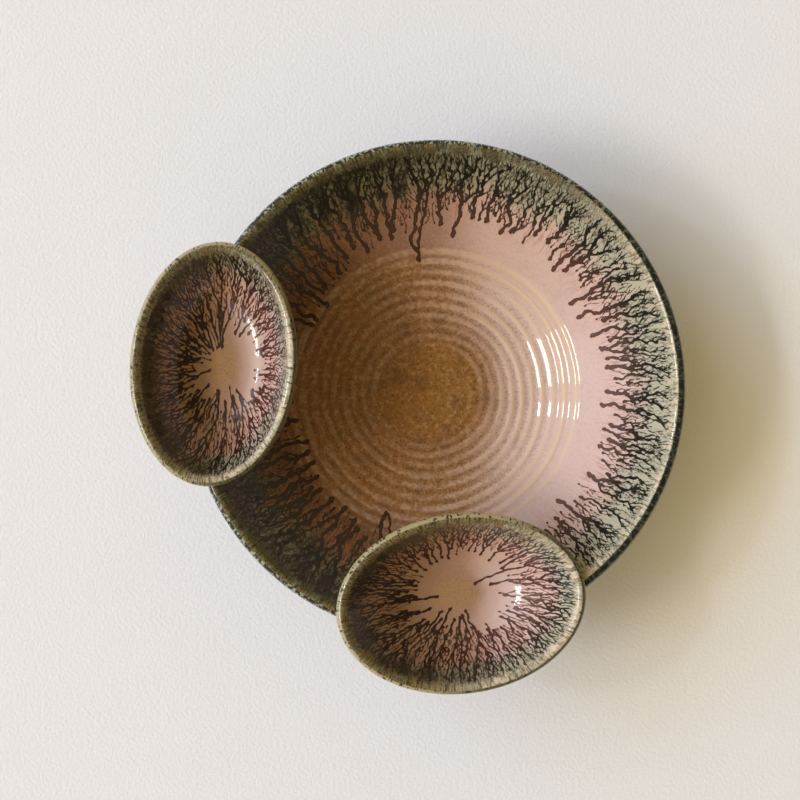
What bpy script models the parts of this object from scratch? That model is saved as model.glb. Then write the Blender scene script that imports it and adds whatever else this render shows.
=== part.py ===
"""Chip and dip server in glazed stoneware: one wide thrown bowl on a foot ring, with two small oval
dip bowls let into its rim and luted there with coils of clay. Metres, +Z up. The origin is on the
table, below the middle of the server's outline."""

import math

import bmesh
import bpy
import numpy as np
from mathutils import Vector

# The wide bowl.
BOWL_RADIUS = 0.140
BOWL_HEIGHT = 0.078
RIM_THICKNESS = 0.0074
WALL_THICKNESS = 0.0060
BASE_THICKNESS = 0.0080
FLAT_RADIUS = 0.026
BOWL_CURVE = 2.3

# The foot ring under it.
FOOT_RADIUS = 0.058
FOOT_WIDTH = 0.009
FOOT_HEIGHT = 0.007
FOOT_ROUNDING = 0.0012

# What the two dip bowls have in common. The lift is how far their rims stand above the wide rim.
DIP_RIM_THICKNESS = 0.0062
DIP_WALL_THICKNESS = 0.0048
DIP_BASE_THICKNESS = 0.0055
DIP_DEPTH = 0.0400
DIP_LIFT = 0.0060
DIP_FLAT = 0.010

# The rolled rims swell from the wall's thickness over this last share of the way out.
RIM_ROLL = 0.14

# Each dip bowl: its bearing from +X round the wide bowl, its half length along the rim, its half
# width across it, how far it hangs out past the rim, how far it is turned off the rim's line, and
# how late its side turns up.
DIPS = {
    "left": dict(bearing=173.75, length=0.0684, width=0.0468, overhang=0.0318, twist=1.75, curve=3.2),
    "front": dict(bearing=-83.60, length=0.0699, width=0.0503, overhang=0.0307, twist=0.90, curve=2.3),
}

# The luting coils in the corners between a dip bowl and the wide bowl.
COIL_RADIUS = 0.0045
COIL_END_RADIUS = 0.0022
COIL_TAPER = 0.15
COIL_STOP = 0.0050

# The gap between pieces that touch.
CLEARANCE = 0.0003

# How finely the faces are cut.
BOWL_SIDES = 72
DIP_SIDES = 48
BOWL_STEPS = 9
DIP_STEPS = 7
RIM_STEPS = 6
COIL_SIDES = 10
COIL_STATIONS = 28
FINE_STEPS = 240


def clear_scene():
    for thing in list(bpy.data.objects):
        bpy.data.objects.remove(thing)


def material(name, colour, roughness):
    made = bpy.data.materials.new(name)
    made.use_nodes = True
    shader = made.node_tree.nodes["Principled BSDF"]
    shader.inputs["Base Color"].default_value = (*colour, 1.0)
    shader.inputs["Roughness"].default_value = roughness
    shader.inputs["Metallic"].default_value = 0.0
    return made


class Form:
    """An open bowl form, round or oval, given by the middle of its wall: a flat floor that turns up
    into a curved side, thickest at the base, and swells again into a rolled rim."""

    def __init__(self, length, width, height, rim, wall, base, flat, curve, floor):
        self.length = length - rim / 2
        self.width = width - rim / 2
        self.reach = (self.length + self.width) / 2
        self.rim = rim
        self.thin = wall
        self.base = base
        self.flat = flat
        self.curve = curve
        self.low = floor + base / 2
        self.high = floor + height - rim / 2

    def wall(self, share, side, grow=0.0):
        """(how far out from the middle line's oval, height) of the wall's surface at a share of the
        way from centre to rim: side 1 is the inside, -1 the outside, 0 the middle."""
        climb = max(0.0, (share * self.reach - self.flat) / (self.reach - self.flat))
        rise = self.high - self.low
        slope = rise * self.curve * climb ** (self.curve - 1) / (self.reach - self.flat)
        roll = max(0.0, (share - 1.0 + RIM_ROLL) / RIM_ROLL)
        swell = (self.rim - self.thin) * roll * roll * (3 - 2 * roll)
        half = (self.base + (self.thin - self.base) * share + swell) / 2 + grow
        tilt = math.hypot(1.0, slope)
        height = self.low + rise * climb**self.curve
        return -side * half * slope / tilt, height + side * half / tilt

    def shares(self, steps):
        """Even steps up the wall, with one more halfway up the roll of the rim."""
        even = [step / steps for step in range(1, steps + 1)]
        return sorted(even + [1.0 - RIM_ROLL / 2])

    def rim_stations(self, steps, grow=0.0):
        """The rounded rim, from the inside over the top to the outside."""
        start = self.wall(1.0, 1, grow)
        angle = math.atan2(start[1] - self.high, start[0])
        radius = self.rim / 2 + grow
        turns = [angle - math.pi * step / steps for step in range(1, steps)]
        return [(1.0, radius * math.cos(turn), self.high + radius * math.sin(turn)) for turn in turns]

    def ring(self, station, sides):
        share, out, height = station
        turns = [2 * math.pi * side / sides for side in range(sides)]
        long = self.length * share + out
        short = self.width * share + out
        return [Vector((long * math.cos(turn), short * math.sin(turn), height)) for turn in turns]

    def shell(self, steps, rim_steps, grow=0.0):
        """Stations round the whole wall, from the floor's middle over the rim to the underside."""
        inside = [(share, *self.wall(share, 1, grow)) for share in self.shares(steps)]
        outside = [(share, *self.wall(share, -1, grow)) for share in reversed(self.shares(steps))]
        floor = (0.0, *self.wall(0.0, 1, grow))
        underside = (0.0, *self.wall(0.0, -1, grow))
        return [floor, *inside, *self.rim_stations(rim_steps, grow), *outside, underside]

    def plug(self, steps, rim_steps, grow, top):
        """Stations round the outside alone, carried straight up from its widest line."""
        outside = [(share, *self.wall(share, -1, grow)) for share in reversed(self.shares(steps))]
        rounded = [one for one in self.rim_stations(rim_steps, grow) if one[2] < self.high]
        widest = self.rim / 2 + grow
        underside = (0.0, *self.wall(0.0, -1, grow))
        lid = [(0.0, 0.0, top), (1.0, widest, top), (1.0, widest, self.high)]
        return [*lid, *rounded, *outside, underside]

    def line(self, side):
        """The wall's surface as two lists, radius and height, for a round form."""
        stations = [(step / FINE_STEPS) for step in range(FINE_STEPS + 1)]
        found = [(share * self.reach + self.wall(share, side)[0], self.wall(share, side)[1])
                 for share in stations]
        return [one[0] for one in found], [one[1] for one in found]


def mesh_from_rings(name, rings, first, last):
    """A closed skin over rings of points, with a single point at each end."""
    build = bmesh.new()
    start = build.verts.new(first)
    end = build.verts.new(last)
    rows = [[build.verts.new(point) for point in ring] for ring in rings]
    count = len(rows[0])
    for side in range(count):
        after = (side + 1) % count
        build.faces.new((start, rows[0][side], rows[0][after]))
        build.faces.new((end, rows[-1][after], rows[-1][side]))
        for upper, lower in zip(rows, rows[1:]):
            build.faces.new((upper[side], lower[side], lower[after], upper[after]))
    bmesh.ops.recalc_face_normals(build, faces=build.faces)
    mesh = bpy.data.meshes.new(name)
    build.to_mesh(mesh)
    build.free()
    return mesh


def form_mesh(name, form, stations, sides):
    rings = [form.ring(station, sides) for station in stations[1:-1]]
    ends = [Vector((0.0, 0.0, station[2])) for station in (stations[0], stations[-1])]
    return mesh_from_rings(name, rings, *ends)


def place(name, mesh, finish, parent, location=(0.0, 0.0, 0.0), turn=0.0):
    piece = bpy.data.objects.new(name, mesh)
    bpy.context.collection.objects.link(piece)
    piece.parent = parent
    piece.location = location
    piece.rotation_euler = (0.0, 0.0, turn)
    if finish:
        mesh.materials.append(finish)
        mesh.shade_smooth()
        mesh.set_sharp_from_angle(angle=math.radians(50))
    return piece


def hide_cutter(piece):
    piece.hide_render = True
    piece.display_type = "WIRE"


def cut(piece, cutter):
    boolean = piece.modifiers.new("cut_" + cutter.name, "BOOLEAN")
    boolean.operation = "DIFFERENCE"
    boolean.solver = "EXACT"
    boolean.object = cutter


def wide_form():
    return Form(BOWL_RADIUS, BOWL_RADIUS, BOWL_HEIGHT - FOOT_HEIGHT, RIM_THICKNESS, WALL_THICKNESS,
                BASE_THICKNESS, FLAT_RADIUS, BOWL_CURVE, FOOT_HEIGHT)


def dip_form(size):
    floor = BOWL_HEIGHT + DIP_LIFT - DIP_DEPTH
    return Form(size["length"], size["width"], DIP_DEPTH, DIP_RIM_THICKNESS, DIP_WALL_THICKNESS,
                DIP_BASE_THICKNESS, DIP_FLAT, size["curve"], floor)


def dip_centre(size):
    """The middle of a dip bowl, from the wide bowl's axis."""
    distance = BOWL_RADIUS + size["overhang"] - size["width"]
    bearing = math.radians(size["bearing"])
    return Vector((distance * math.cos(bearing), distance * math.sin(bearing), 0.0))


def dip_turn(size):
    """The direction of a dip bowl's long axis, from +X."""
    return math.radians(size["bearing"] - 90.0 + size["twist"])


def outline_middle():
    """The middle of the whole outline seen from above, from the wide bowl's axis."""
    lows = [Vector((-BOWL_RADIUS, -BOWL_RADIUS, 0.0))]
    highs = [Vector((BOWL_RADIUS, BOWL_RADIUS, 0.0))]
    for size in DIPS.values():
        turn = dip_turn(size)
        across = math.hypot(size["length"] * math.cos(turn), size["width"] * math.sin(turn))
        along = math.hypot(size["length"] * math.sin(turn), size["width"] * math.cos(turn))
        reach = Vector((across, along, 0.0))
        lows.append(dip_centre(size) - reach)
        highs.append(dip_centre(size) + reach)
    low = Vector([min(one[axis] for one in lows) for axis in range(3)])
    high = Vector([max(one[axis] for one in highs) for axis in range(3)])
    return (low + high) / 2


def foot_mesh(form):
    """The foot ring, whose top follows the bowl's underside with a gap."""
    radii, heights = form.line(-1)
    outer = FOOT_RADIUS
    inner = FOOT_RADIUS - FOOT_WIDTH
    profile = [(outer, FOOT_ROUNDING), (outer - FOOT_ROUNDING, 0.0),
               (inner + FOOT_ROUNDING, 0.0), (inner, FOOT_ROUNDING)]
    for share in (0.0, 0.5, 1.0):
        radius = inner + (outer - inner) * share
        profile.append((radius, float(np.interp(radius, radii, heights)) - CLEARANCE))
    build = bmesh.new()
    rows = []
    for side in range(BOWL_SIDES):
        turn = 2 * math.pi * side / BOWL_SIDES
        row = [(radius * math.cos(turn), radius * math.sin(turn), height) for radius, height in profile]
        rows.append([build.verts.new(point) for point in row])
    for side, row in enumerate(rows):
        after = rows[(side + 1) % BOWL_SIDES]
        for step in range(len(profile)):
            step_after = (step + 1) % len(profile)
            build.faces.new((row[step], after[step], after[step_after], row[step_after]))
    bmesh.ops.recalc_face_normals(build, faces=build.faces)
    mesh = bpy.data.meshes.new("foot_ring")
    build.to_mesh(mesh)
    build.free()
    return mesh


def seam_point(size, dip, line, angle):
    """Where the outside of a dip bowl, followed from its underside outwards in one direction, meets
    one surface of the wide bowl's wall. None where it doesn't."""
    radii, heights = line
    turn = dip_turn(size)
    centre = dip_centre(size)
    before = None
    for step in range(FINE_STEPS + 1):
        share = step / FINE_STEPS
        out, height = dip.wall(share, -1)
        across = (dip.length * share + out) * math.cos(angle)
        along = (dip.width * share + out) * math.sin(angle)
        point = centre + Vector((across * math.cos(turn) - along * math.sin(turn),
                                 across * math.sin(turn) + along * math.cos(turn), height))
        radius = math.hypot(point.x, point.y)
        above = height - float(np.interp(radius, radii, heights))
        if radius < radii[-1] and above > 0.0:
            return before.lerp(point, 0.5) if before else None
        before = point
    return None


def seam_path(size, dip, line):
    """Evenly spread points along the seam, which runs under the dip bowl's inner side and stops a
    little below the wide rim at both ends."""
    found = []
    for step in range(FINE_STEPS):
        angle = -math.pi * step / FINE_STEPS
        point = seam_point(size, dip, line, angle)
        if point and point.z < BOWL_HEIGHT - COIL_STOP:
            found.append(point)
    lengths = [0.0]
    for first, second in zip(found, found[1:]):
        lengths.append(lengths[-1] + (second - first).length)
    spread = []
    for station in range(COIL_STATIONS):
        goal = lengths[-1] * station / (COIL_STATIONS - 1)
        spread.append(Vector([float(np.interp(goal, lengths, [point[axis] for point in found]))
                              for axis in range(3)]))
    return spread


def coil_mesh(name, path):
    """A round coil of clay laid along a path, thinner towards both ends."""
    rings = []
    last = len(path) - 1
    for station, point in enumerate(path):
        ahead = (path[min(station + 1, last)] - path[max(station - 1, 0)]).normalized()
        sideways = ahead.cross(Vector((0.0, 0.0, 1.0))).normalized()
        upwards = sideways.cross(ahead)
        share = min(1.0, min(station, last - station) / (last * COIL_TAPER))
        radius = COIL_END_RADIUS + (COIL_RADIUS - COIL_END_RADIUS) * share
        turns = [2 * math.pi * side / COIL_SIDES for side in range(COIL_SIDES)]
        rings.append([point + (sideways * math.cos(turn) + upwards * math.sin(turn)) * radius
                      for turn in turns])
    return mesh_from_rings(name, rings, path[0], path[-1])


def main():
    clear_scene()
    glaze = material("mauve_and_celadon_glaze", (0.34, 0.22, 0.19), 0.12)
    dip_glaze = material("dip_bowl_glaze", (0.30, 0.24, 0.20), 0.12)
    seam_glaze = material("seam_glaze", (0.10, 0.09, 0.06), 0.15)
    bare = material("bare_stoneware", (0.42, 0.33, 0.25), 0.80)

    server = bpy.data.objects.new("server", None)
    bpy.context.collection.objects.link(server)
    server.location = -outline_middle()

    wide = wide_form()
    shell = wide.shell(BOWL_STEPS, RIM_STEPS)
    main_bowl = place("main_bowl", form_mesh("main_bowl", wide, shell, BOWL_SIDES), glaze, server)
    place("foot_ring", foot_mesh(wide), bare, server)

    room = wide.shell(BOWL_STEPS, RIM_STEPS, CLEARANCE)
    wall_room = place("wall_room", form_mesh("wall_room", wide, room, BOWL_SIDES), None, server)
    hide_cutter(wall_room)

    for name, size in DIPS.items():
        dip = dip_form(size)
        centre = dip_centre(size)
        turn = dip_turn(size)
        shell = dip.shell(DIP_STEPS, RIM_STEPS)
        place(name + "_dip_bowl", form_mesh(name + "_dip_bowl", dip, shell, DIP_SIDES),
              dip_glaze, server, centre, turn)
        plug = dip.plug(DIP_STEPS, RIM_STEPS, CLEARANCE, BOWL_HEIGHT + DIP_LIFT + DIP_DEPTH)
        dip_room = place(name + "_dip_room", form_mesh(name + "_dip_room", dip, plug, DIP_SIDES),
                         None, server, centre, turn)
        hide_cutter(dip_room)
        cut(main_bowl, dip_room)
        for where, side in (("inner", 1), ("outer", -1)):
            path = seam_path(size, dip, wide.line(side))
            coil = place(f"{name}_{where}_luting_coil", coil_mesh(f"{name}_{where}_luting_coil", path),
                         seam_glaze, server)
            cut(coil, wall_room)
            cut(coil, dip_room)


main()
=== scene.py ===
"""A glazed stoneware chip and dip server on a pale table, seen from straight above: a wide thrown bowl
with two oval dip bowls let into its rim. The dark rim glaze has run down the insides in branching
runs with round ends, over a mauve and brown glaze that breaks to cream on the throwing rings."""

import math

import bpy
import numpy as np
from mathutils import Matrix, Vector


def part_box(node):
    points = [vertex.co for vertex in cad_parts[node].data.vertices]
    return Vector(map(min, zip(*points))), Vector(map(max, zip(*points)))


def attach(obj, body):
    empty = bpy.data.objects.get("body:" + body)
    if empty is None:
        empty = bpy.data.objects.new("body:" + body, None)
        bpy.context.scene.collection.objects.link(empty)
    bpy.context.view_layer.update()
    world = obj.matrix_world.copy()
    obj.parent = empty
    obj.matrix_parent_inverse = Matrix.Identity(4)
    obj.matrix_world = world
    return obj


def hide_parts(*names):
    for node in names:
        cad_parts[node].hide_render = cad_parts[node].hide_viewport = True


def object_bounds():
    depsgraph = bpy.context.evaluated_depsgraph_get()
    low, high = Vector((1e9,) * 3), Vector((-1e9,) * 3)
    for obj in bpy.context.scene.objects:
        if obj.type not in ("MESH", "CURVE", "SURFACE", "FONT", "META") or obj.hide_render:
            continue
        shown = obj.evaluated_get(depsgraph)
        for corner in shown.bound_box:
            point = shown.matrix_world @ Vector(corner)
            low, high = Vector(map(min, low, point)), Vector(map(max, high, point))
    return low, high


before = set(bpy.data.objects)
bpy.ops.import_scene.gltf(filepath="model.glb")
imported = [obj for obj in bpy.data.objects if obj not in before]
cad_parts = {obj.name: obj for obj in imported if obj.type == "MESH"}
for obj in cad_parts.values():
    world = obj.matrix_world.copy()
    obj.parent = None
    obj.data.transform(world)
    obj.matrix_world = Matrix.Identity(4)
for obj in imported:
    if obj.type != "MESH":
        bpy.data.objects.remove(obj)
cad_low, cad_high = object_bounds()

# Sizes are in metres and angles in degrees, unless a comment says otherwise.
MM = 0.001

# The walls, as the CAD has them: rim, side and base thickness, flat floor and how late the side rises.
WIDE_WALL = dict(rim=7.4 * MM, thin=6.0 * MM, base=8.0 * MM, flat=26.0 * MM, curve=2.3)
LEFT_WALL = dict(rim=6.2 * MM, thin=4.8 * MM, base=5.5 * MM, flat=10.0 * MM, curve=3.2)
FRONT_WALL = dict(rim=6.2 * MM, thin=4.8 * MM, base=5.5 * MM, flat=10.0 * MM, curve=2.3)
RIM_ROLL = 0.14

# How far each dip bowl's long axis is turned off the line of the wide rim.
LEFT_TWIST = 1.75
FRONT_TWIST = 0.90

# How far the wide bowl's wall reaches into the walls of the dip bowls, so that they close up.
SINK = 0.9 * MM

# The throwing rings: how far apart, how high, between which radii, and where their middle lies.
RING_PITCH = 6.2 * MM
RING_HEIGHT = 0.50 * MM
RING_INNER = 31.0 * MM
RING_OUTER = 86.0 * MM
RING_MIDDLE = (-1.6 * MM, -1.9 * MM)

# How much the dark runs stand out of the glaze.
RUN_RELIEF = 0.11 * MM

# Sections have this many steps round the rim and down the wall, and a point this near to a surface
# lies on it.
ARC_STEPS = 60
WALL_STEPS = 900
ON_SURFACE = 0.3 * MM

# The UV map's two discs, for a bowl's inside and outside: middle and radius.
INSIDE_DISC = (0.405, 0.395)
OUTSIDE_DISC = (0.825, 0.165)

# How many points each bowl's skin has round it, the falls inside and outside past which it has a
# third of them, and how many sides the foot has.
WIDE_COLUMNS = 1260
WIDE_THINNING = (90.0 * MM, 12.0 * MM)
DIP_COLUMNS = 630
DIP_THINNING = (40.0 * MM, 10.0 * MM)
FOOT_SIDES = 256

# The room cut out of the wide bowl for a dip bowl: how far up past the rim it goes, how many sides it
# has and how many rows there are down it.
ROOM_ABOVE = 40.0 * MM
ROOM_SIDES = 360
ROOM_ROWS = 60

# The coved seams between the bowls: leg length at the middle and at the ends, how deep they sit and how
# far below the rim they end; how many angles and falls are tried for where the walls meet, and how
# many points there are across a cove.
SEAM_LEG = 5.0 * MM
SEAM_END_LEG = 2.4 * MM
SEAM_SINK = 1.3 * MM
SEAM_STOP = 4.0 * MM
SEAM_ROWS = 361
SEAM_FALLS = 1500
COVE_POINTS = 9

# The foot ring.
FOOT_WIDTH = 9.0 * MM
FOOT_ROUNDING = 1.2 * MM

# The dark runs. The spacing at the rim and the widest half width are in millimetres. Births is the
# chance at each step that a thin run starts in a gap. Runs start and split only over a first share of
# the fall to the reach, the branching. Wobble is how hard they are shoved about. They are followed
# until a set distance past the stop, a share of the way out. The reach is how near the common ones
# come to the middle, as a share of the way out at a bearing round the bowl; the heft is how much
# glaze they carry. Each long run is given by the bearings where it starts and ends, how far from the
# middle it ends in millimetres, and its load.
WIDE_RUNS = dict(
    seed=11, spacing=1.6, widest=1.10, stop=0.44, branching=0.86, births=0.17, wobble=0.26,
    reach=((0, 0.80), (35, 0.80), (75, 0.79), (100, 0.73), (140, 0.67), (175, 0.66), (205, 0.66),
           (245, 0.70), (285, 0.77), (315, 0.80), (340, 0.80)),
    heft=((0, 0.4), (60, 0.55), (85, 0.9), (110, 1.3), (160, 1.4), (240, 1.4), (300, 0.8), (330, 0.4)),
    long_runs=((96.5, 96.5, 82, 34), (106, 106, 97, 12), (116, 116, 95, 14), (123, 124, 98, 10),
               (130, 129, 93, 18), (144, 142, 85, 40), (154, 152, 86, 34), (84, 83, 96, 22),
               (72, 73, 107, 12), (66, 67, 104, 9), (59, 57, 111, 9), (54, 52.5, 112, 12),
               (45.5, 45.5, 103, 30), (41, 42.5, 107, 18), (29, 32, 99, 26), (24, 26.5, 99, 18),
               (16, 19, 102, 13), (5, 7, 106, 14), (-2, -1, 105, 12), (-13, -12, 109, 7),
               (-21, -19, 106, 10), (-27, -29, 107, 22), (-39, -42, 102, 40), (252, 249, 73, 34),
               (243, 241, 98, 26), (236, 233, 92, 26), (217, 219, 97, 20), (208, 211, 88, 18),
               (200, 202, 86, 18)))
DIP_RUNS = dict(spacing=1.50, widest=0.66, stop=0.10, branching=0.92, births=0.30, wobble=0.16)
LEFT_RUNS = dict(
    DIP_RUNS, seed=23,
    reach=((0, 0.66), (40, 0.60), (80, 0.40), (120, 0.34), (150, 0.34), (180, 0.38), (200, 0.52),
           (230, 0.42), (270, 0.38), (300, 0.46), (330, 0.60)),
    heft=((0, 0.5), (60, 0.8), (100, 1.1), (150, 0.9), (180, 0.9), (230, 0.9), (290, 0.6), (330, 0.5)),
    long_runs=((86, 52, 10, 26), (98, 95, 14, 10), (112, 100, 5, 20), (75, 68, 22, 12),
               (128, 120, 12, 10), (140, 150, 16, 8), (158, 165, 15, 9), (176, 200, 9, 22),
               (186, 205, 13, 12), (222, 235, 15, 14), (247, 262, 17, 14), (262, 274, 23, 16),
               (272, 285, 24, 9), (288, 300, 18, 12), (318, 318, 25, 6), (335, 335, 30, 5),
               (15, 12, 27, 5), (40, 40, 28, 6)))
FRONT_RUNS = dict(
    DIP_RUNS, seed=37,
    reach=((0, 0.54), (40, 0.66), (80, 0.66), (120, 0.66), (150, 0.55), (180, 0.50), (220, 0.46),
           (260, 0.44), (290, 0.50), (320, 0.60)),
    heft=((0, 0.5), (60, 0.6), (110, 0.7), (160, 1.0), (190, 1.0), (230, 0.8), (270, 0.6), (320, 0.5)),
    long_runs=((124, 122, 25, 14), (106, 105, 24, 12), (62, 63, 29, 12), (50, 51, 38, 6),
               (40, 38, 33, 8), (12, 33, 13, 20), (8, 17, 22, 10), (198, 186, 14, 34),
               (152, 150, 30, 10), (172, 176, 32, 10), (236, 219, 14, 16), (251, 242, 11, 13),
               (268, 273, 15, 12), (280, 294, 12, 13), (222, 222, 26, 12), (226, 221, 36, 8),
               (346, 347, 36, 6), (334, 334, 34, 8), (322, 323, 33, 8)))


def smooth(value, low, high):
    """0 at low, 1 at high, with soft ends; low may be the larger."""
    share = np.clip((np.asarray(value, float) - low) / (high - low), 0.0, 1.0)
    return share * share * (3.0 - 2.0 * share)


# ---------------------------------------------------------------- the bowl forms


class Line:
    """One side of a form's section, from the crest of the rim down to its middle: at each station
    the share of the wall's middle oval, the distance out from it, the height, and the fall, which
    is the length down the surface from the crest."""

    def __init__(self, share, out, height, reach):
        self.share = share
        self.out = out
        self.height = height
        self.radius = share * reach + out
        steps = np.hypot(np.diff(self.radius), np.diff(height))
        self.fall = np.concatenate([[0.0], np.cumsum(steps)])
        self.length = self.fall[-1]

    def at(self, fall):
        return [np.interp(fall, self.fall, values) for values in (self.share, self.out, self.height)]

    def across(self, radius, values, first=ARC_STEPS):
        """The values at a distance from the middle, from the first station on; the first ones are
        the rim's rounding."""
        return np.interp(radius, self.radius[first:][::-1], values[first:][::-1])

    def fall_at(self, share):
        """The fall at a share of the way from the middle to the rim."""
        return np.interp(share, self.share[::-1], self.fall[::-1])


class Form:
    """An open bowl form, round or oval, given by the middle of its wall: a flat floor that turns up
    into a curved side and swells into a rolled rim. Its inside and outside are Lines."""

    def __init__(self, centre, turn, length, width, floor, top, rim, thin, base, flat, curve):
        self.centre = np.array([centre.x, centre.y])
        self.turn = turn
        self.length = length - rim / 2
        self.width = width - rim / 2
        self.reach = (self.length + self.width) / 2
        self.rim = rim
        self.thin = thin
        self.base = base
        self.flat = flat
        self.curve = curve
        self.low = floor + base / 2
        self.high = top - rim / 2
        self.inside = self.line(1)
        self.outside = self.line(-1)

    def wall(self, share, side, grow=0.0):
        """(distance out, height) of the wall's surface: side 1 is the inside, -1 the outside."""
        climb = np.maximum(0.0, (share * self.reach - self.flat) / (self.reach - self.flat))
        rise = self.high - self.low
        slope = rise * self.curve * climb ** (self.curve - 1) / (self.reach - self.flat)
        swell = (self.rim - self.thin) * smooth(share, 1.0 - RIM_ROLL, 1.0)
        half = (self.base + (self.thin - self.base) * share + swell) / 2 + grow
        tilt = np.hypot(1.0, slope)
        return -side * half * slope / tilt, self.low + rise * climb**self.curve + side * half / tilt

    def line(self, side, grow=0.0):
        """The rim's rounding and then the wall, as one Line."""
        share = np.linspace(1.0, 0.0, WALL_STEPS)
        wall_out, wall_height = self.wall(share, side, grow)
        end = math.atan2(wall_height[0] - self.high, wall_out[0])
        turns = np.linspace(math.pi / 2, end, ARC_STEPS)
        radius = self.rim / 2 + grow
        return Line(np.concatenate([np.ones(ARC_STEPS), share]),
                    np.concatenate([radius * np.cos(turns), wall_out]),
                    np.concatenate([self.high + radius * np.sin(turns), wall_height]), self.reach)

    def points(self, share, out, height, angle):
        """World points; the angle runs round the form from its long axis."""
        long = (self.length * share + out) * np.cos(angle)
        short = (self.width * share + out) * np.sin(angle)
        across = long * math.cos(self.turn) - short * math.sin(self.turn) + self.centre[0]
        along = long * math.sin(self.turn) + short * math.cos(self.turn) + self.centre[1]
        return np.stack(np.broadcast_arrays(across, along, height), axis=-1)

    def spread(self, share, out, angle):
        """Metres round the form for each radian of angle."""
        return np.hypot((self.length * share + out) * np.sin(angle),
                        (self.width * share + out) * np.cos(angle))

    def plan(self, points):
        """Points seen from above, from the form's middle and with its long axis along X."""
        across = points[:, 0] - self.centre[0]
        along = points[:, 1] - self.centre[1]
        return (across * math.cos(self.turn) + along * math.sin(self.turn),
                along * math.cos(self.turn) - across * math.sin(self.turn))

    def place(self, bearing, distance=None):
        """(angle, share) of the spot at a bearing and a distance from the middle."""
        direction = math.radians(bearing) - self.turn
        away = self.reach if distance is None else distance
        long = away * math.cos(direction) / self.length
        short = away * math.sin(direction) / self.width
        return math.atan2(short, long) % math.tau, math.hypot(long, short)


def box_middle(node):
    low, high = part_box(node)
    return (low + high) / 2


def wide_form():
    low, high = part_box("main_bowl")
    middle = box_middle("foot_ring")
    radius = high.x - middle.x
    return Form(middle, 0.0, radius, radius, low.z, high.z, **WIDE_WALL)


def dip_form(node, twist, wall):
    """A dip bowl's form. Its half axes follow from the box round the turned oval."""
    low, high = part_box(node)
    middle = box_middle(node)
    away = middle - box_middle("foot_ring")
    turn = math.atan2(away.y, away.x) - math.pi / 2 + math.radians(twist)
    across = ((high.x - low.x) / 2) ** 2
    along = ((high.y - low.y) / 2) ** 2
    cos_part = math.cos(turn) ** 2
    sin_part = math.sin(turn) ** 2
    length = math.sqrt((across * cos_part - along * sin_part) / (cos_part - sin_part))
    width = math.sqrt((along * cos_part - across * sin_part) / (cos_part - sin_part))
    return Form(middle, turn, length, width, low.z, high.z, **wall)


# ---------------------------------------------------------------- how the dark glaze ran


class RunMap:
    """The dark runs inside a form, as a map: round by angle, down by fall. Each cell holds how far
    it is from the nearest run's edge, negative inside it, and that run's half width, in mm."""

    CELL = 0.3
    MARGIN = 1.0

    def __init__(self, form):
        self.form = form
        self.columns = int(math.tau * form.reach / MM / self.CELL)
        self.rows = int(form.inside.length / MM / self.CELL)
        self.edge = np.full(self.rows * self.columns, self.MARGIN)
        self.size = np.zeros(self.rows * self.columns)

    def paint(self, angle, fall, half):
        """Adds round dabs, given by their places and half widths in mm."""
        share, out, _ = self.form.inside.at(fall * MM)
        spread = self.form.spread(share, out, angle) / MM
        order = np.argsort(spread)
        for part in np.array_split(order, max(1, len(order) // 1500)):
            self.dab(angle[part], fall[part], half[part], spread[part])

    def dab(self, angle, fall, half, spread):
        column = angle / math.tau * self.columns
        row = fall / self.CELL
        cells = (half.max() + self.MARGIN) / self.CELL + 1
        wide = int(min(self.columns / 2 - 1, cells * self.form.reach / MM / spread.min()))
        side, down = np.meshgrid(np.arange(-wide, wide + 1), np.arange(-int(cells), int(cells) + 1))
        to_column = np.round(column)[:, None] + side.ravel()
        to_row = np.round(row)[:, None] + down.ravel()
        across = (to_column - column[:, None]) * math.tau / self.columns * spread[:, None]
        along = (to_row - row[:, None]) * self.CELL
        edge = np.hypot(across, along) - half[:, None]
        used = (edge < self.MARGIN) & (to_row >= 0) & (to_row < self.rows)
        cell = (to_row * self.columns + to_column % self.columns).astype(int)[used]
        edge = edge[used]
        np.minimum.at(self.edge, cell, edge)
        nearest = edge <= self.edge[cell]
        self.size[cell[nearest]] = np.broadcast_to(half[:, None], used.shape)[used][nearest]

    def sample(self, angle, fall):
        """(edge, half width) in mm at any places, between the cells."""
        column = (angle / math.tau * self.columns) % self.columns
        row = np.clip(fall / MM / self.CELL, 0, self.rows - 1.001)
        left = np.floor(column).astype(int) % self.columns
        right = (left + 1) % self.columns
        upper = np.floor(row).astype(int)
        found = []
        for values in (self.edge, self.size):
            grid = values.reshape(self.rows, self.columns)
            top = grid[upper, left] * (1 - column % 1) + grid[upper, right] * (column % 1)
            below = grid[upper + 1, left] * (1 - column % 1) + grid[upper + 1, right] * (column % 1)
            found.append(top * (1 - row % 1) + below * (row % 1))
        return found


def round_values(form, stops, angle):
    """Values between (bearing, value) stops, all the way round a form."""
    places = sorted((form.place(bearing)[0], value) for bearing, value in stops)
    turns, values = zip(*places)
    return np.interp(angle % math.tau, turns, values, period=math.tau)


def half_width(load, widest):
    """The half width in mm of a run that carries this much glaze."""
    return np.minimum(widest, 0.24 + 0.155 * np.sqrt(load))


def round_gaps(angle):
    """From each run to the next one round, in radians; the angles are in order."""
    return (np.roll(angle, -1) - angle) % math.tau


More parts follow.
